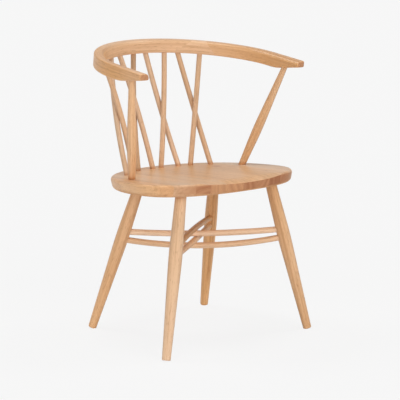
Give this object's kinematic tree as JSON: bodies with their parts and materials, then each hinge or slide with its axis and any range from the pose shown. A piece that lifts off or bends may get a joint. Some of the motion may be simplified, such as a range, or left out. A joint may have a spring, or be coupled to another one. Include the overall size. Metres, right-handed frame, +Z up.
{
  "type": "wooden dining armchair",
  "caption": "Pale wooden dining armchair with a staved seat, splayed turned legs, crossed stretchers, a lattice spindle back and one bent bow for back rail and arms.",
  "frame": {"origin": "on the floor, below the middle of the chair's bounding box", "axes": "+X to the sitter's left, +Y to the back of the chair, +Z up; the sitter faces -Y"},
  "size_m": [0.567, 0.4788, 0.7831],
  "materials": {
    "seat_wood": "satin",
    "bent_wood": "satin",
    "turned_wood": "satin"
  },
  "bodies": {
    "root": {"arm_bow": "bent_wood", "arm_post_left": "turned_wood", "arm_post_right": "turned_wood", "back_spindle_1": "turned_wood", "back_spindle_2": "turned_wood", "back_spindle_3": "turned_wood", "back_spindle_4": "turned_wood", "back_spindle_5": "turned_wood", "back_spindle_6": "turned_wood", "back_spindle_7": "turned_wood", "back_spindle_8": "turned_wood", "leg_front_left": "turned_wood", "leg_front_right": "turned_wood", "leg_rear_left": "turned_wood", "leg_rear_right": "turned_wood", "seat_stave_01": "seat_wood", "seat_stave_02": "seat_wood", "seat_stave_03": "seat_wood", "seat_stave_04": "seat_wood", "seat_stave_05": "seat_wood", "seat_stave_06": "seat_wood", "seat_stave_07": "seat_wood", "seat_stave_08": "seat_wood", "seat_stave_09": "seat_wood", "seat_stave_10": "seat_wood", "seat_stave_11": "seat_wood", "stretcher_rear_left_lower": "turned_wood", "stretcher_rear_left_upper": "turned_wood", "stretcher_rear_right_lower": "turned_wood", "stretcher_rear_right_upper": "turned_wood"}
  },
  "joints": []
}
